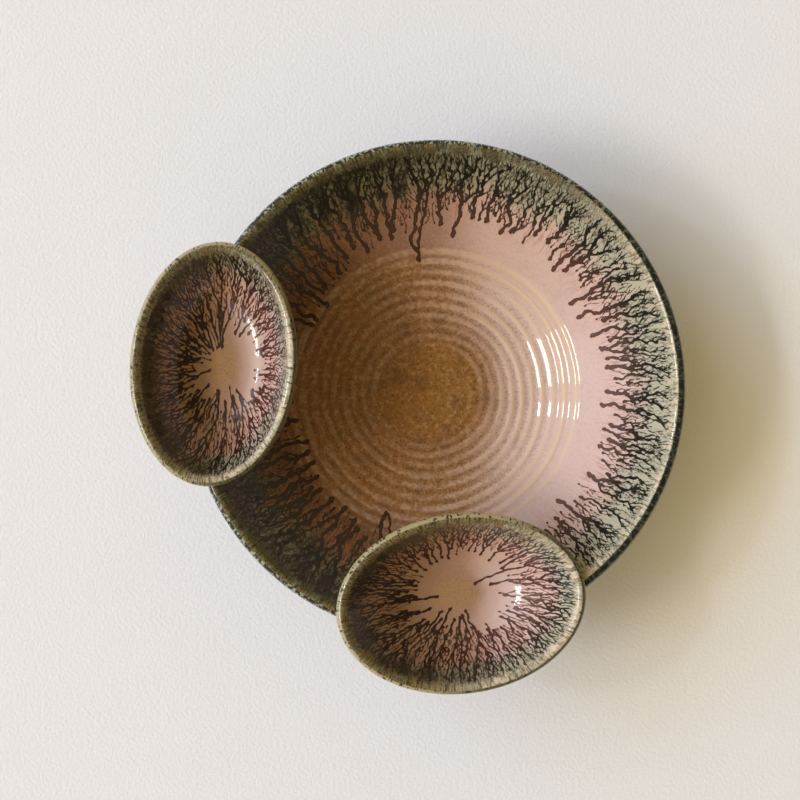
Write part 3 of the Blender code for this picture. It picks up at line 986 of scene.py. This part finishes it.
def glaze(name, zone, floor_ends, centre_colour, floor_colour, rim):
    """The rim's dark glaze over mauve and brown, painted lighter on the lit east side and darker in
    shade on the west and north. Shares of the way out say between which the rim's green glaze sets in
    (zone), the floor's brown gives way to mauve (floor_ends) and the pale band sets in that is partly a
    painted sheen (haze). The rest of the rim's values are the width of the crest in mm and how gold it
    is, how pale and what colour the lip is, how far in mm the dark lip moves outwards on the sunny east
    side, where it is painted in shade (dark), how mottled the floor is, and the colour of the wall on
    its shaded side, a painted shade (shade)."""
    finish = Finish(bpy.data.materials.new(name))
    step, mix, noise = finish.step, finish.mix, finish.noise
    edge, size, share = finish.parts(finish.attribute("runs"))
    place = finish.attribute("place")
    fall = finish.parts(place)[2] * (1.0 / MM)
    east, north, ridge = finish.parts(finish.attribute("spot"))
    where = finish.surface()

    def drawn_out(scale):
        """The place on the bowl, for patches drawn out down the wall."""
        return finish.stretched(place, (1.0, 1.0, scale))

    # These masks paint the glaze lighter towards the east and darker towards the west and north. This
    # is
    # painted light and shade: the lamps stand in the west, so the west and north walls inside lie in
    # the rim's shadow and face away from them, while the east walls face them. The glaze is also paler
    # towards the east under any lamp.
    bright = step(east, -0.35, 0.60)
    lit_wall = step(east + north * 0.15, -0.50, 0.45)
    sunny = step(east - north * 0.45, 0.00, 0.70)
    grain = noise(where, 1.3, 3.0)
    fleck = noise(where, 2.9, 2.5)
    cloud = noise(where, 14.0, 2.0)
    streak = noise(drawn_out(0.16), 1.4, 3.0)
    tongue = noise(drawn_out(0.20), 9.0, 2.0)

    # The brown floor and the mauve wall. The wall is mixed from its lit mauve and a darker copy, the
    # colour of its shaded side, which is painted shade on the west and north walls.
    colour = mix(step(share + (cloud - 0.5) * 0.10, 0.16, 0.26), centre_colour, floor_colour)
    wall = step(share + (cloud - 0.5) * 0.16 + east * 0.12, *floor_ends)
    colour = mix(wall, colour, mix(lit_wall, rim["shade"], MAUVE))
    # A pale band on the east walls: partly a painted sheen standing in for the mirrored veil on the
    # glaze, partly the walls' own paler mauve.
    pale = step(east + north * 0.10, 0.05, 0.35) * step(share, *rim["haze"])
    colour = mix(pale * 0.80, colour, MAUVE_PALE_SHEEN)
    speckle = (1.0 - wall * 0.72) * (1.0 - pale * 0.5) * rim["mottle"]
    colour = mix(step(fleck, 0.50, 0.66) * speckle * 0.60, colour, MOTTLE_PALE)
    colour = mix(step(grain, 0.52, 0.34) * speckle * 0.65, colour, MOTTLE_DARK)
    colour = mix(step(cloud, 0.50, 0.66) * 0.45 * speckle, colour, MOTTLE_DARK)
    # The throwing rings break to cream, strongly on the lit east side and faintly in the west: the
    # break is the glaze's own, and its change from east to west is painted light and shade.
    broken = step(fleck + bright * 0.16, 0.42, 0.62)
    waning = step(cloud + bright * 0.20, 0.36, 0.62)
    ring_break_and_light = (0.16 + 0.42 * broken + 0.42 * waning) * (0.40 + 0.60 * bright)
    ring_break_and_light = ring_break_and_light * (0.35 + 0.65 * step(share, 0.16, 0.46))
    colour = mix(step(ridge + (grain - 0.5) * 0.7, -0.10, 0.58) * ring_break_and_light, colour, RING_CREAM)

    # Rust where the rim's glaze thins out, and then the green glaze itself.
    thinning = share + (tongue - 0.5) * 0.16 - 0.01 - bright * 0.03
    rust = step(thinning, zone[0] - 0.12, zone[0]) * step(streak, 0.48, 0.62)
    colour = mix(rust * 0.55, colour, RUST)
    # The green is mixed from dark olive on the shaded west and north and pale celadon on the lit east,
    # with pale flecks only where lit: partly the glaze's own colours, partly painted light and shade.
    green = mix(bright, mix(step(fleck, 0.40, 0.66), OLIVE, OLIVE_PALE), CELADON)
    green = mix(step(grain, 0.50, 0.66) * 0.35 * bright, green, MOTTLE_PALE)
    rimward = step(thinning, *zone)
    colour = mix(rimward * (0.62 + 0.38 * step(streak, 0.30, 0.60)), colour, green)

    # Black veins in the green, in curling lines down the wall: painted finer and fainter towards the
    # lit east as painted light. Black pools gather only towards the west.
    twist = finish.node("ShaderNodeVectorMath", dict(operation="SCALE"),
                        {0: noise(place, 3.2, 2.0, output=1), "Scale": 5.0 * MM})
    veins = finish.crackle(finish.stretched(finish.shifted(place, twist), (1.0, 1.0, 0.34)), 2.7)
    line = step(veins, 0.16 - 0.07 * bright, 0.05) * step(tongue - bright * 0.02, 0.42, 0.58)
    below_crest = step(fall, 3.0, 7.0)
    colour = mix(line * rimward * below_crest * (0.90 - 0.20 * bright), colour, RUN_BLACK)
    pool = step(tongue + share * 0.9 - bright * 0.7, 1.18, 1.40) * below_crest * rimward
    colour = mix(pool * 0.50, colour, RUN_BLACK)

    # A dark band of gathered glaze below the crest, left out on the sunny east side as painted light.
    band = step(fall, 4.0, 8.0) * step(fall, 17.0, 10.0) * (1.0 - sunny)
    colour = mix(band * step(streak, 0.62, 0.42) * 0.60, colour, RUN_BLACK)

    # The runs: black by the rim, brown lower down, red where thin, paler along the middle. Towards the
    # lit east they are painted browner, redder and paler, a painted light.
    ragged = edge + (grain - 0.5) * 0.30
    deep = step(share, zone[1] + 0.02, zone[0] - 0.06)
    thin = step(size, 0.62, 0.32)
    brown = mix(bright * 0.58, RUN_BROWN, RUN_HEART)
    tint = mix(thin * (0.35 + 0.65 * bright), brown, RUN_RED)
    tint = mix(deep, RUN_BLACK, tint)
    heart = step(ragged, -0.45, -0.90) * deep
    tint = mix(heart * (0.25 + 0.35 * bright), tint, RUN_HEART)
    inside = step(fall, 2.0, 5.0)
    colour = mix(step(ragged, 0.10, -0.14) * inside, colour, tint)

    # The crest of the rim, where the glaze is thin and breaks to gold and cream in fine streaks. On the
    # sunny east side it is painted cream and mossy celadon with fewer dark grains: partly the glaze's
    # own break, partly a painted highlight on the lit crest.
    fine = noise(drawn_out(0.14), 0.9, 3.0)
    dust = noise(place, 0.9, 3.0)
    gilded = step(fall + (fine - 0.5) * 3.0, 2.0, 0.2) * (1.0 - rim["gold"]) + rim["gold"]
    gold = mix(gilded, OLIVE, CREST_GOLD)
    crest_colour = mix(sunny * 0.90 + rim["gold"] * 0.10, gold, CREST_CREAM)
    mossy = mix(sunny, OLIVE_PALE, CELADON)
    crest_colour = mix(step(tongue, 0.48, 0.62) * 0.70, crest_colour, mossy)
    crest_colour = mix(step(fleck, 0.50, 0.64) * 0.70 * sunny, crest_colour, CREST_GOLD)
    grains = step(dust * 0.6 + fine * 0.4, 0.47, 0.57)
    crest_colour = mix(grains * (0.85 - 0.60 * sunny), crest_colour, RUN_BROWN)
    crest_colour = mix(step(streak, 0.54, 0.62) * 0.80, crest_colour, LIP_DARK)
    uneven = fall + (tongue - 0.5) * 12.0 + (fine - 0.5) * 14.0
    crest = step(uneven, rim["crest"], rim["crest"] - 4.0)
    colour = mix(crest * 0.92, colour, crest_colour)

    # Outside: a speckled dark lip, a green band below it and brown down to the foot. On the sunny east
    # side the lip has fewer pale specks and its dark edge is moved: painted shade on the side of the
    # lip that faces away from the lamps.
    blots = noise(drawn_out(0.6), 1.6, 4.0)
    specks = step(blots, 0.51 - rim["pale"], 0.57 - rim["pale"])
    lip = mix(specks * (0.90 - 0.70 * sunny), LIP_DARK, rim["lip"])
    over_edge = step(fall - sunny * rim["dark"] + (fine - 0.5) * 1.6, -0.4, -1.2)
    colour = mix(over_edge, colour, lip)
    low = step(fall + (tongue - 0.5) * 26.0, -14.0, -30.0)
    skirt = mix(step(streak, 0.42, 0.60) * 0.8, SKIRT_BROWN, LIP_DARK)
    colour = mix(low, colour, skirt)

    finish.set(Base_Color=colour, Roughness=0.34 + 0.10 * cloud, Specular_IOR_Level=0.30,
               Coat_Weight=1.0, Coat_Roughness=0.03, Coat_IOR=1.5)
    finish.bump(cloud * 0.7 + fleck * 0.12 + noise(where, 5.0, 1.0) * 0.35, 0.5 * MM, 0.30)
    return finish.owner


def pooled_and_shaded_glaze():
    """Nearly black glaze, gathered thick in the corners between the bowls; the black is also painted
    shade in these corners.
    """
    finish = Finish(bpy.data.materials.new("pooled_and_shaded_seam_glaze"))
    step, mix, noise = finish.step, finish.mix, finish.noise
    where = finish.surface()
    cloud = noise(where, 5.0, 3.0)
    grain = noise(where, 1.2, 3.0)
    colour = mix(step(cloud, 0.48, 0.70), POOL_AND_SHADE_BLACK, OLIVE)
    colour = mix(step(grain, 0.56, 0.70) * 0.5, colour, MOTTLE_DARK)
    finish.set(Base_Color=colour, Roughness=0.20 + 0.15 * cloud, IOR=1.5, Coat_Weight=1.0,
               Coat_Roughness=0.06, Coat_IOR=1.5)
    finish.bump(cloud + grain * 0.2, 0.4 * MM, 0.4)
    return finish.owner


def bare_stoneware():
    """The foot's unglazed clay, wiped clean, with iron specks and fine turning lines."""
    finish = Finish(bpy.data.materials.new("bare_stoneware"))
    step, mix, noise = finish.step, finish.mix, finish.noise
    where = finish.surface()
    grain = noise(where, 0.7, 4.0)
    cloud = noise(where, 9.0, 2.0)
    turned = noise(finish.stretched(where, (0.05, 0.05, 1.0)), 0.5, 2.0)
    colour = mix(cloud, STONEWARE, STONEWARE_SHADE)
    colour = mix(step(grain, 0.64, 0.72) * 0.8, colour, IRON)
    finish.set(Base_Color=colour, Roughness=0.72 + 0.20 * grain, IOR=1.45)
    finish.bump(grain * 0.7 + turned * 0.5, 0.3 * MM, 0.5)
    return finish.owner


def table_paper():
    """The pale table, with a faint rough tooth."""
    finish = Finish(bpy.data.materials.new("table_paper"))
    mix, noise = finish.mix, finish.noise
    where = finish.surface()
    tooth = noise(where, 2.2, 4.0)
    colour = mix(noise(where, 60.0, 2.0), PAPER, PAPER_PALE)
    finish.set(Base_Color=colour, Roughness=0.9, IOR=1.3)
    finish.bump(tooth, 1.0 * MM, 0.42)
    return finish.owner


# ---------------------------------------------------------------- the stage

# The camera looks straight down; its place is from the middle of the outline, its height above the rim.
CAMERA_EAST = -5.0 * MM
CAMERA_NORTH = 8.8 * MM
CAMERA_ABOVE = 650.0 * MM
CAMERA_LENS = 52.3
CAMERA_SENSOR = 36.0

# The lights stand in the west: a wide soft one that is low and isn't mirrored in the glaze, a faint
# sheen in its place that is, a high wide one whose reflection veils the far walls, and two small
# bright ones that glint on the throwing rings. Each has its bearing, elevation, width and height as
# seen from the bowl, strength and colour.
LIGHT_DISTANCE = 9.0
LIGHTS = dict(
    soft_light=(165.5, 28.5, 58.0, 34.0, 4.4, (0.53, 1.01, 2.07)),
    sheen_light=(167.0, 29.0, 58.0, 34.0, 1.0, (0.95, 0.97, 1.00)),
    veil_light=(188.0, 56.0, 64.0, 28.0, 1.5, (0.95, 1.00, 1.10)),
    warm_light=(194.0, 43.0, 18.0, 7.5, 2.50, (1.05, 0.96, 0.88)),
    glint_light=(170.0, 42.0, 5.0, 3.5, 0.80, (0.85, 0.96, 1.08)))

# The room's warm light, dim round one direction: above the bowl and leaning to the east by this angle.
# It is dimmest where the cosine of the angle from there is above the core's, and fullest where that is
# below the edge's. The glaze mirrors only a share of it.
ROOM_LIGHT = (0.56, 0.44, 0.205)
ROOM_DIM = 0.36
ROOM_GAIN = 1.62
ROOM_IN_GLAZE = 0.35
DIM_LEAN = 30.0
DIM_CORE = 0.90
DIM_EDGE = 0.40

# The table's half width, and what the camera sees beyond it.
TABLE_HALF = 4.0
BACKDROP = (0.78, 0.75, 0.70)


def stage():
    mesh = bpy.data.meshes.new("table")
    half = TABLE_HALF
    corners = [(-half, -half, 0), (half, -half, 0), (half, half, 0), (-half, half, 0)]
    mesh.from_pydata(corners, [], [(0, 1, 2, 3)])
    table = place_piece("table", mesh, table_paper())
    table.location.z = cad_low.z - 0.2 * MM

    camera = bpy.data.objects.new("camera", bpy.data.cameras.new("camera"))
    bpy.context.collection.objects.link(camera)
    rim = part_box("main_bowl")[1].z
    camera.location = (CAMERA_EAST, CAMERA_NORTH, rim + CAMERA_ABOVE)
    camera.data.lens = CAMERA_LENS
    camera.data.sensor_width = CAMERA_SENSOR
    bpy.context.scene.camera = camera

    for name, values in LIGHTS.items():
        light = area_light(name, *values)
        light.visible_glossy = name != "soft_light"
    bpy.context.scene.world = room()
    bpy.context.scene.view_settings.view_transform = "Standard"


def room():
    """The light of the room, dim above and towards the east, and dimmer still where it is mirrored."""
    finish = Finish(bpy.data.worlds.new("room"), "Background")
    lean = math.radians(DIM_LEAN)
    direction = finish.node("ShaderNodeTexCoord", {}, {})
    dimmest = (math.sin(lean), 0.0, math.cos(lean))
    both = {0: direction, 1: dimmest}
    near_dim = finish.node("ShaderNodeVectorMath", dict(operation="DOT_PRODUCT"), both, "Value")
    values = {"Value": near_dim, "From Min": DIM_CORE, "From Max": DIM_EDGE, "To Min": ROOM_DIM,
              "To Max": ROOM_GAIN}
    level = finish.node("ShaderNodeMapRange", dict(interpolation_type="SMOOTHSTEP"), values)
    mirrored = finish.node("ShaderNodeLightPath", {}, {}, "Is Glossy Ray")
    level = level * (1.0 - mirrored * (1.0 - ROOM_IN_GLAZE))
    lit = finish.node("ShaderNodeVectorMath", dict(operation="SCALE"), {0: ROOM_LIGHT, "Scale": level})
    seen = finish.node("ShaderNodeLightPath", {}, {}, "Is Camera Ray")
    finish.set(Color=finish.mix(seen, lit, BACKDROP))
    return finish.owner


def area_light(name, bearing, elevation, width, height, strength, colour):
    data = bpy.data.lights.new(name, "AREA")
    data.shape = "RECTANGLE"
    data.size = 2 * LIGHT_DISTANCE * math.tan(math.radians(width / 2))
    data.size_y = 2 * LIGHT_DISTANCE * math.tan(math.radians(height / 2))
    data.energy = strength * LIGHT_DISTANCE**2
    data.color = colour
    light = bpy.data.objects.new(name, data)
    bpy.context.collection.objects.link(light)
    round_by = math.radians(bearing)
    up_by = math.radians(elevation)
    flat = math.cos(up_by)
    away = Vector((math.cos(round_by) * flat, math.sin(round_by) * flat, math.sin(up_by)))
    light.location = away * LIGHT_DISTANCE
    light.rotation_euler = away.to_track_quat("Z", "Y").to_euler()
    return light


# ---------------------------------------------------------------- the server


def finish_piece(piece, nodes):
    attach(piece, "root")
    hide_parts(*nodes)


def build():
    wide = wide_form()
    dips = dict(left=dip_form("left_dip_bowl", LEFT_TWIST, LEFT_WALL),
                front=dip_form("front_dip_bowl", FRONT_TWIST, FRONT_WALL))

    mesh, _, _ = form_skin("main_bowl", wide, ((0.0, 0.6 * MM), (90 * MM, 0.8 * MM)),
                           ((0.0, 0.7 * MM), (12 * MM, 1.6 * MM)), WIDE_COLUMNS, WIDE_THINNING)
    mesh = carved(mesh, [dip_room(dip) for dip in dips.values()])
    angle, fall = wide_places(wide, mesh_points(mesh))
    runs = Flow(wide, WIDE_RUNS).settle()
    coat(wide, mesh, angle, fall, runs, ringed=True)
    bowl_glaze = glaze("mauve_and_celadon_glaze", **WIDE_GLAZE)
    finish_piece(place_piece("wide_bowl", mesh, bowl_glaze), ["main_bowl"])

    plans = dict(left=LEFT_RUNS, front=FRONT_RUNS)
    for name, dip in dips.items():
        mesh, angle, fall = form_skin(name + "_dip_bowl", dip, ((0.0, 0.55 * MM),),
                                      ((0.0, 0.7 * MM), (10 * MM, 1.4 * MM)), DIP_COLUMNS, DIP_THINNING)
        coat(dip, mesh, angle, fall, Flow(dip, plans[name]).settle())
        dip_glaze = glaze(name + "_dip_glaze", **DIP_GLAZE)
        finish_piece(place_piece(name + "_dip", mesh, dip_glaze), [name + "_dip_bowl"])

    # The coves between the bowls: near-black as pooled glaze and as painted shade in these corners.
    pool_and_shade = pooled_and_shaded_glaze()
    for name, dip in dips.items():
        for where, side in (("inner", 1), ("outer", -1)):
            seam = seam_mesh(f"{name}_{where}_seam", dip, wide, side)
            finish_piece(place_piece(f"{name}_{where}_seam", seam, pool_and_shade),
                         [f"{name}_{where}_luting_coil"])

    foot = place_piece("foot", foot_mesh(wide), bare_stoneware())
    finish_piece(foot, ["foot_ring"])


stage()
build()
